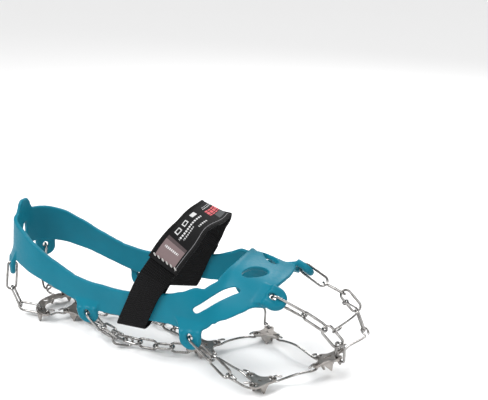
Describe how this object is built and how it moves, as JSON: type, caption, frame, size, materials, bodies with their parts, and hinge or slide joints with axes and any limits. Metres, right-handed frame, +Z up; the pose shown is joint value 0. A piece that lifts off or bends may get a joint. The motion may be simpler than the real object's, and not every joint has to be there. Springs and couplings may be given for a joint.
{
  "type": "shoe ice cleat",
  "caption": "Pull-on ice traction cleat: elastomer harness with lugs and an instep strap holding toothed steel plates, links and rods under a boot sole",
  "frame": {"origin": "middle of the bounding box in X and Y, on the ground plane that the tooth tips stand on", "axes": "+X toward the toe, +Y toward the far side of the cleat, +Z up"},
  "size_m": [0.3099, 0.1193, 0.1255],
  "materials": {
    "elastomer": "smooth matte teal moulding",
    "webbing": "black ribbed webbing",
    "bound_patch": "black hook-and-loop strap end with bound edge and a plain printed field",
    "plate_steel": "stamped, lightly worn",
    "wire_steel": "bright drawn wire"
  },
  "bodies": {
    "harness": {"harness": "elastomer", "strap_near": "webbing", "strap_far": "webbing"},
    "plate_toe": {"plate_toe": "plate_steel"},
    "plate_ball_near": {"plate_ball_near": "plate_steel"},
    "plate_ball_far": {"plate_ball_far": "plate_steel"},
    "plate_mid": {"plate_mid": "plate_steel"},
    "plate_heel": {"plate_heel": "plate_steel"},
    "plate_heel_rear": {"plate_heel_rear": "plate_steel"},
    "chain_long_near_1": {"chain_long_near_1": "wire_steel"},
    "chain_long_near_2": {"chain_long_near_2": "wire_steel"},
    "chain_long_near_3": {"chain_long_near_3": "wire_steel"},
    "chain_long_near_4": {"chain_long_near_4": "wire_steel"},
    "chain_long_near_5": {"chain_long_near_5": "wire_steel"},
    "chain_long_near_6": {"chain_long_near_6": "wire_steel"},
    "chain_long_near_7": {"chain_long_near_7": "wire_steel"},
    "chain_long_near_8": {"chain_long_near_8": "wire_steel"},
    "chain_long_far_1": {"chain_long_far_1": "wire_steel"},
    "chain_long_far_2": {"chain_long_far_2": "wire_steel"},
    "chain_long_far_3": {"chain_long_far_3": "wire_steel"},
    "chain_long_far_4": {"chain_long_far_4": "wire_steel"},
    "chain_long_far_5": {"chain_long_far_5": "wire_steel"},
    "chain_long_far_6": {"chain_long_far_6": "wire_steel"},
    "chain_long_far_7": {"chain_long_far_7": "wire_steel"},
    "chain_long_far_8": {"chain_long_far_8": "wire_steel"},
    "ring_arch_near": {"ring_arch_near": "wire_steel"},
    "chain_arch_near_1": {"chain_arch_near_1": "wire_steel"},
    "chain_arch_near_2": {"chain_arch_near_2": "wire_steel"},
    "ring_arch_far": {"ring_arch_far": "wire_steel"},
    "chain_arch_far_1": {"chain_arch_far_1": "wire_steel"},
    "chain_arch_far_2": {"chain_arch_far_2": "wire_steel"},
    "chain_arch_far_3": {"chain_arch_far_3": "wire_steel"},
    "ring_heel_near": {"ring_heel_near": "wire_steel"},
    "chain_heel_near_1": {"chain_heel_near_1": "wire_steel"},
    "chain_heel_near_2": {"chain_heel_near_2": "wire_steel"},
    "ring_heel_far": {"ring_heel_far": "wire_steel"},
    "chain_heel_far_1": {"chain_heel_far_1": "wire_steel"},
    "chain_heel_far_2": {"chain_heel_far_2": "wire_steel"},
    "ring_ball_near": {"ring_ball_near": "wire_steel"},
    "chain_ball_near_1": {"chain_ball_near_1": "wire_steel"},
    "rod_ball_near": {"rod_ball_near": "wire_steel"},
    "ring_ball_far": {"ring_ball_far": "wire_steel"},
    "rod_ball_far": {"rod_ball_far": "wire_steel"},
    "rod_toe_ball_near": {"rod_toe_ball_near": "wire_steel"},
    "rod_toe_ball_far": {"rod_toe_ball_far": "wire_steel"},
    "rod_mid_ball_near": {"rod_mid_ball_near": "wire_steel"},
    "rod_mid_ball_far": {"rod_mid_ball_far": "wire_steel"},
    "rod_heel_near": {"rod_heel_near": "wire_steel"},
    "rod_heel_far": {"rod_heel_far": "wire_steel"},
    "ring_toe_near": {"ring_toe_near": "wire_steel"},
    "chain_toe_near_1": {"chain_toe_near_1": "wire_steel"},
    "chain_toe_near_2": {"chain_toe_near_2": "wire_steel"},
    "chain_toe_near_3": {"chain_toe_near_3": "wire_steel"},
    "ring_toe_far": {"ring_toe_far": "wire_steel"},
    "chain_toe_far_1": {"chain_toe_far_1": "wire_steel"},
    "chain_toe_far_2": {"chain_toe_far_2": "wire_steel"},
    "chain_toe_far_3": {"chain_toe_far_3": "wire_steel"},
    "rod_toe_far": {"rod_toe_far": "wire_steel"},
    "toe_bail": {"toe_bail": "wire_steel"},
    "strap_patch": {"strap_patch": "bound_patch"}
  },
  "joints": [
    {"name": "plate_toe_rock", "type": "hinge", "parent": "harness", "child": "plate_toe", "pos_m": [0.13122, 0.0029, 0.01565], "axis": [-0.4697, 0, 0.8828], "range_deg": [-1.5, 2.2]},
    {"name": "plate_ball_near_rock", "type": "hinge", "parent": "harness", "child": "plate_ball_near", "pos_m": [0.0928, -0.0421, 0.0081], "axis": [0, 0, 1], "range_deg": [-3, 3.4]},
    {"name": "plate_ball_far_rock", "type": "hinge", "parent": "harness", "child": "plate_ball_far", "pos_m": [0.0698, 0.0339, 0.0081], "axis": [0, 0, 1], "range_deg": [-3.3, 2.8]},
    {"name": "plate_mid_rock", "type": "hinge", "parent": "harness", "child": "plate_mid", "pos_m": [0.0318, -0.0111, 0.0081], "axis": [0, 0, 1], "range_deg": [-1.8, 1.3]},
    {"name": "plate_heel_rock", "type": "hinge", "parent": "harness", "child": "plate_heel", "pos_m": [-0.0957, -0.0001, 0.0081], "axis": [0, 1, 0], "range_deg": [-1.9, 1.9]},
    {"name": "plate_heel_rear_rock", "type": "hinge", "parent": "harness", "child": "plate_heel_rear", "pos_m": [-0.1272, 0.0009, 0.0081], "axis": [0, 1, 0], "range_deg": [-1.5, 1.5]},
    {"name": "chain_long_near_1_roll", "type": "hinge", "parent": "harness", "child": "chain_long_near_1", "pos_m": [0.01615, -0.02169, 0.0074], "axis": [0.9799, 0.1827, 0.0801], "range_deg": [-12, 12]},
    {"name": "chain_long_near_2_roll", "type": "hinge", "parent": "harness", "child": "chain_long_near_2", "pos_m": [0.00219, -0.02414, 0.00649], "axis": [0.9849, 0.1652, 0.0524], "range_deg": [-12, 12]},
    {"name": "chain_long_near_3_roll", "type": "hinge", "parent": "harness", "child": "chain_long_near_3", "pos_m": [-0.01188, -0.02577, 0.00609], "axis": [0.9967, 0.0803, 0.0115], "range_deg": [-12, 12]},
    {"name": "chain_long_near_4_roll", "type": "hinge", "parent": "harness", "child": "chain_long_near_4", "pos_m": [-0.02603, -0.02629, 0.00598], "axis": [0.9985, -0.0549, -0.0006], "range_deg": [-12, 2]},
    {"name": "chain_long_near_5_roll", "type": "hinge", "parent": "harness", "child": "chain_long_near_5", "pos_m": [-0.0399, -0.02375, 0.00606], "axis": [0.9684, -0.2493, -0.008], "range_deg": [-12, 12]},
    {"name": "chain_long_near_6_roll", "type": "hinge", "parent": "harness", "child": "chain_long_near_6", "pos_m": [-0.05341, -0.01954, 0.00626], "axis": [0.9344, -0.3555, -0.0213], "range_deg": [-12, 12]},
    {"name": "chain_long_near_7_roll", "type": "hinge", "parent": "harness", "child": "chain_long_near_7", "pos_m": [-0.06671, -0.01462, 0.00669], "axis": [0.9423, -0.3315, -0.0468], "range_deg": [-12, 12]},
    {"name": "chain_long_near_8_roll", "type": "hinge", "parent": "harness", "child": "chain_long_near_8", "pos_m": [-0.08021, -0.01027, 0.00753], "axis": [0.9547, -0.2902, -0.0657], "range_deg": [-12, 12]},
    {"name": "chain_long_far_1_roll", "type": "hinge", "parent": "harness", "child": "chain_long_far_1", "pos_m": [0.01474, -0.0008, 0.00744], "axis": [0.9239, -0.3749, 0.0761], "range_deg": [-12, 12]},
    {"name": "chain_long_far_2_roll", "type": "hinge", "parent": "harness", "child": "chain_long_far_2", "pos_m": [0.00174, 0.00458, 0.00659], "axis": [0.9209, -0.3864, 0.0511], "range_deg": [-12, 12]},
    {"name": "chain_long_far_3_roll", "type": "hinge", "parent": "harness", "child": "chain_long_far_3", "pos_m": [-0.01125, 0.00997, 0.00608], "axis": [0.9226, -0.3856, 0.012], "range_deg": [-12, 12]},
    {"name": "chain_long_far_4_roll", "type": "hinge", "parent": "harness", "child": "chain_long_far_4", "pos_m": [-0.02435, 0.01476, 0.00598], "axis": [0.9688, -0.2478, -0.0022], "range_deg": [-10, 9]},
    {"name": "chain_long_far_5_roll", "type": "hinge", "parent": "harness", "child": "chain_long_far_5", "pos_m": [-0.03801, 0.01468, 0.00601], "axis": [0.9886, 0.1503, -0.0026], "range_deg": [-12, 12]},
    {"name": "chain_long_far_6_roll", "type": "hinge", "parent": "harness", "child": "chain_long_far_6", "pos_m": [-0.05176, 0.01207, 0.00616], "axis": [0.9747, 0.2231, -0.0147], "range_deg": [-12, 12]},
    {"name": "chain_long_far_7_roll", "type": "hinge", "parent": "harness", "child": "chain_long_far_7", "pos_m": [-0.0655, 0.009, 0.00654], "axis": [0.9757, 0.2165, -0.0345], "range_deg": [-11, 12]},
    {"name": "chain_long_far_8_roll", "type": "hinge", "parent": "harness", "child": "chain_long_far_8", "pos_m": [-0.0794, 0.00747, 0.00742], "axis": [0.9956, 0.0529, -0.0779], "range_deg": [-12, 11]},
    {"name": "ring_arch_near_roll", "type": "hinge", "parent": "harness", "child": "ring_arch_near", "pos_m": [-0.05274, -0.04005, 0.02468], "axis": [0.5549, 0.2491, -0.7938], "range_deg": [-11, 12]},
    {"name": "chain_arch_near_1_roll", "type": "hinge", "parent": "harness", "child": "chain_arch_near_1", "pos_m": [-0.04297, -0.03601, 0.01342], "axis": [0.7462, 0.2658, -0.6104], "range_deg": [-11, 11]},
    {"name": "chain_arch_near_2_roll", "type": "hinge", "parent": "harness", "child": "chain_arch_near_2", "pos_m": [-0.03223, -0.03171, 0.00718], "axis": [0.8897, 0.4203, -0.1783], "range_deg": [-8, 10]},
    {"name": "ring_arch_far_roll", "type": "hinge", "parent": "harness", "child": "ring_arch_far", "pos_m": [-0.05302, 0.04193, 0.02505], "axis": [0.5535, -0.2522, -0.7938], "range_deg": [-12, 12]},
    {"name": "chain_arch_far_1_roll", "type": "hinge", "parent": "harness", "child": "chain_arch_far_1", "pos_m": [-0.04451, 0.03803, 0.01365], "axis": [0.6352, -0.2878, -0.7167], "range_deg": [-8, 12]},
    {"name": "chain_arch_far_2_roll", "type": "hinge", "parent": "harness", "child": "chain_arch_far_2", "pos_m": [-0.03626, 0.03142, 0.0079], "axis": [0.6638, -0.7037, -0.2535], "range_deg": [-12, 11]},
    {"name": "chain_arch_far_3_roll", "type": "hinge", "parent": "harness", "child": "chain_arch_far_3", "pos_m": [-0.02789, 0.02218, 0.00583], "axis": [0.6442, -0.7646, 0.0206], "range_deg": [-12, 12]},
    {"name": "ring_heel_near_roll", "type": "hinge", "parent": "harness", "child": "ring_heel_near", "pos_m": [-0.14913, -0.02316, 0.03918], "axis": [0.1699, -0.0249, 0.9851], "range_deg": [-10, 0]},
    {"name": "chain_heel_near_1_roll", "type": "hinge", "parent": "harness", "child": "chain_heel_near_1", "pos_m": [-0.14747, -0.02132, 0.01856], "axis": [0.3077, 0.1423, -0.9408], "range_deg": [-8, 3]},
    {"name": "chain_heel_near_2_roll", "type": "hinge", "parent": "harness", "child": "chain_heel_near_2", "pos_m": [-0.13603, -0.01833, 0.00875], "axis": [0.9807, 0.1848, -0.0635], "range_deg": [-12, 12]},
    {"name": "ring_heel_far_roll", "type": "hinge", "parent": "harness", "child": "ring_heel_far", "pos_m": [-0.14913, 0.02496, 0.03918], "axis": [0.1699, 0.0249, 0.9851], "range_deg": [0, 10]},
    {"name": "chain_heel_far_1_roll", "type": "hinge", "parent": "harness", "child": "chain_heel_far_1", "pos_m": [-0.14747, 0.02312, 0.01856], "axis": [0.3077, -0.1423, -0.9408], "range_deg": [-3, 8]},
    {"name": "chain_heel_far_2_roll", "type": "hinge", "parent": "harness", "child": "chain_heel_far_2", "pos_m": [-0.13603, 0.02013, 0.00875], "axis": [0.9807, -0.1848, -0.0635], "range_deg": [-12, 12]},
    {"name": "ring_ball_near_roll", "type": "hinge", "parent": "harness", "child": "ring_ball_near", "pos_m": [0.04944, -0.05314, 0.03083], "axis": [0.7995, -0.0163, -0.6005], "range_deg": [-12, 12]},
    {"name": "chain_ball_near_1_roll", "type": "hinge", "parent": "harness", "child": "chain_ball_near_1", "pos_m": [0.06558, -0.05478, 0.01987], "axis": [0.8453, -0.156, -0.511], "range_deg": [-12, 12]},
    {"name": "rod_ball_near_roll", "type": "hinge", "parent": "harness", "child": "rod_ball_near", "pos_m": [0.08165, -0.0539, 0.01126], "axis": [0.8316, 0.3552, -0.427], "range_deg": [-6, 6]},
    {"name": "ring_ball_far_roll", "type": "hinge", "parent": "harness", "child": "ring_ball_far", "pos_m": [0.04849, 0.05476, 0.03139], "axis": [0.7926, 0, -0.6097], "range_deg": [-11, 11]},
    {"name": "rod_ball_far_roll", "type": "hinge", "parent": "harness", "child": "rod_ball_far", "pos_m": [0.0615, 0.04898, 0.01596], "axis": [0.372, -0.4042, -0.8356], "range_deg": [-6, 6]},
    {"name": "rod_toe_ball_near_roll", "type": "hinge", "parent": "harness", "child": "rod_toe_ball_near", "pos_m": [0.11392, -0.02179, 0.00995], "axis": [0.6827, 0.721, 0.1184], "range_deg": [-6, 6]},
    {"name": "rod_toe_ball_far_roll", "type": "hinge", "parent": "harness", "child": "rod_toe_ball_far", "pos_m": [0.10042, 0.02068, 0.00875], "axis": [0.8952, -0.445, 0.025], "range_deg": [-6, 6]},
    {"name": "rod_mid_ball_near_roll", "type": "hinge", "parent": "harness", "child": "rod_mid_ball_near", "pos_m": [0.06211, -0.02843, 0.00808], "axis": [0.9115, -0.4113, 0.0002], "range_deg": [-6, 6]},
    {"name": "rod_mid_ball_far_roll", "type": "hinge", "parent": "harness", "child": "rod_mid_ball_far", "pos_m": [0.05111, 0.01329, 0.00808], "axis": [0.6236, 0.7818, 0], "range_deg": [-6, 6]},
    {"name": "rod_heel_near_roll", "type": "hinge", "parent": "harness", "child": "rod_heel_near", "pos_m": [-0.11021, -0.01407, 0.00815], "axis": [0.7088, 0.7054, 0], "range_deg": [-6, 6]},
    {"name": "rod_heel_far_roll", "type": "hinge", "parent": "harness", "child": "rod_heel_far", "pos_m": [-0.10996, 0.01512, 0.00813], "axis": [0.6851, -0.7285, 0], "range_deg": [-6, 6]},
    {"name": "ring_toe_near_roll", "type": "hinge", "parent": "harness", "child": "ring_toe_near", "pos_m": [0.10735, -0.02921, 0.06808], "axis": [0.8771, 0.2123, -0.4307], "range_deg": [-12, 6]},
    {"name": "chain_toe_near_1_roll", "type": "hinge", "parent": "harness", "child": "chain_toe_near_1", "pos_m": [0.12543, -0.02303, 0.05709], "axis": [0.7457, 0.3522, -0.5656], "range_deg": [-5, 12]},
    {"name": "chain_toe_near_2_roll", "type": "hinge", "parent": "harness", "child": "chain_toe_near_2", "pos_m": [0.13768, -0.0161, 0.04463], "axis": [0.5124, 0.3773, -0.7714], "range_deg": [-4, 1]},
    {"name": "chain_toe_near_3_roll", "type": "hinge", "parent": "harness", "child": "chain_toe_near_3", "pos_m": [0.14256, -0.00837, 0.0289], "axis": [0.075, -0.4403, 0.8947], "range_deg": [-12, 4]},
    {"name": "ring_toe_far_roll", "type": "hinge", "parent": "harness", "child": "ring_toe_far", "pos_m": [0.10604, 0.03253, 0.06893], "axis": [0.8997, -0.11, -0.4224], "range_deg": [-12, 12]},
    {"name": "chain_toe_far_1_roll", "type": "hinge", "parent": "harness", "child": "chain_toe_far_1", "pos_m": [0.12277, 0.03323, 0.06049], "axis": [0.8332, 0.3033, -0.4623], "range_deg": [-12, 12]},
    {"name": "chain_toe_far_2_roll", "type": "hinge", "parent": "harness", "child": "chain_toe_far_2", "pos_m": [0.13592, 0.03666, 0.05121], "axis": [0.7036, 0.0397, -0.7095], "range_deg": [-12, 1]},
    {"name": "chain_toe_far_3_roll", "type": "hinge", "parent": "harness", "child": "chain_toe_far_3", "pos_m": [0.14498, 0.03575, 0.03738], "axis": [0.4523, -0.1038, -0.8858], "range_deg": [-9, 7]},
    {"name": "rod_toe_far_roll", "type": "hinge", "parent": "harness", "child": "rod_toe_far", "pos_m": [0.14479, 0.02321, 0.02415], "axis": [0.5409, 0.7119, 0.4479], "range_deg": [-6, 6]},
    {"name": "toe_bail_swing", "type": "hinge", "parent": "harness", "child": "toe_bail", "pos_m": [0.1358, 0.00965, 0.04994], "axis": [-0.1426, 0.9895, 0.0255], "range_deg": [-12, 5]},
    {"name": "strap_patch_lift", "type": "hinge", "parent": "harness", "child": "strap_patch", "pos_m": [0.011, -0.04186, 0.08652], "axis": [0.8758, 0.0362, -0.4813], "range_deg": [0, 60]}
  ]
}
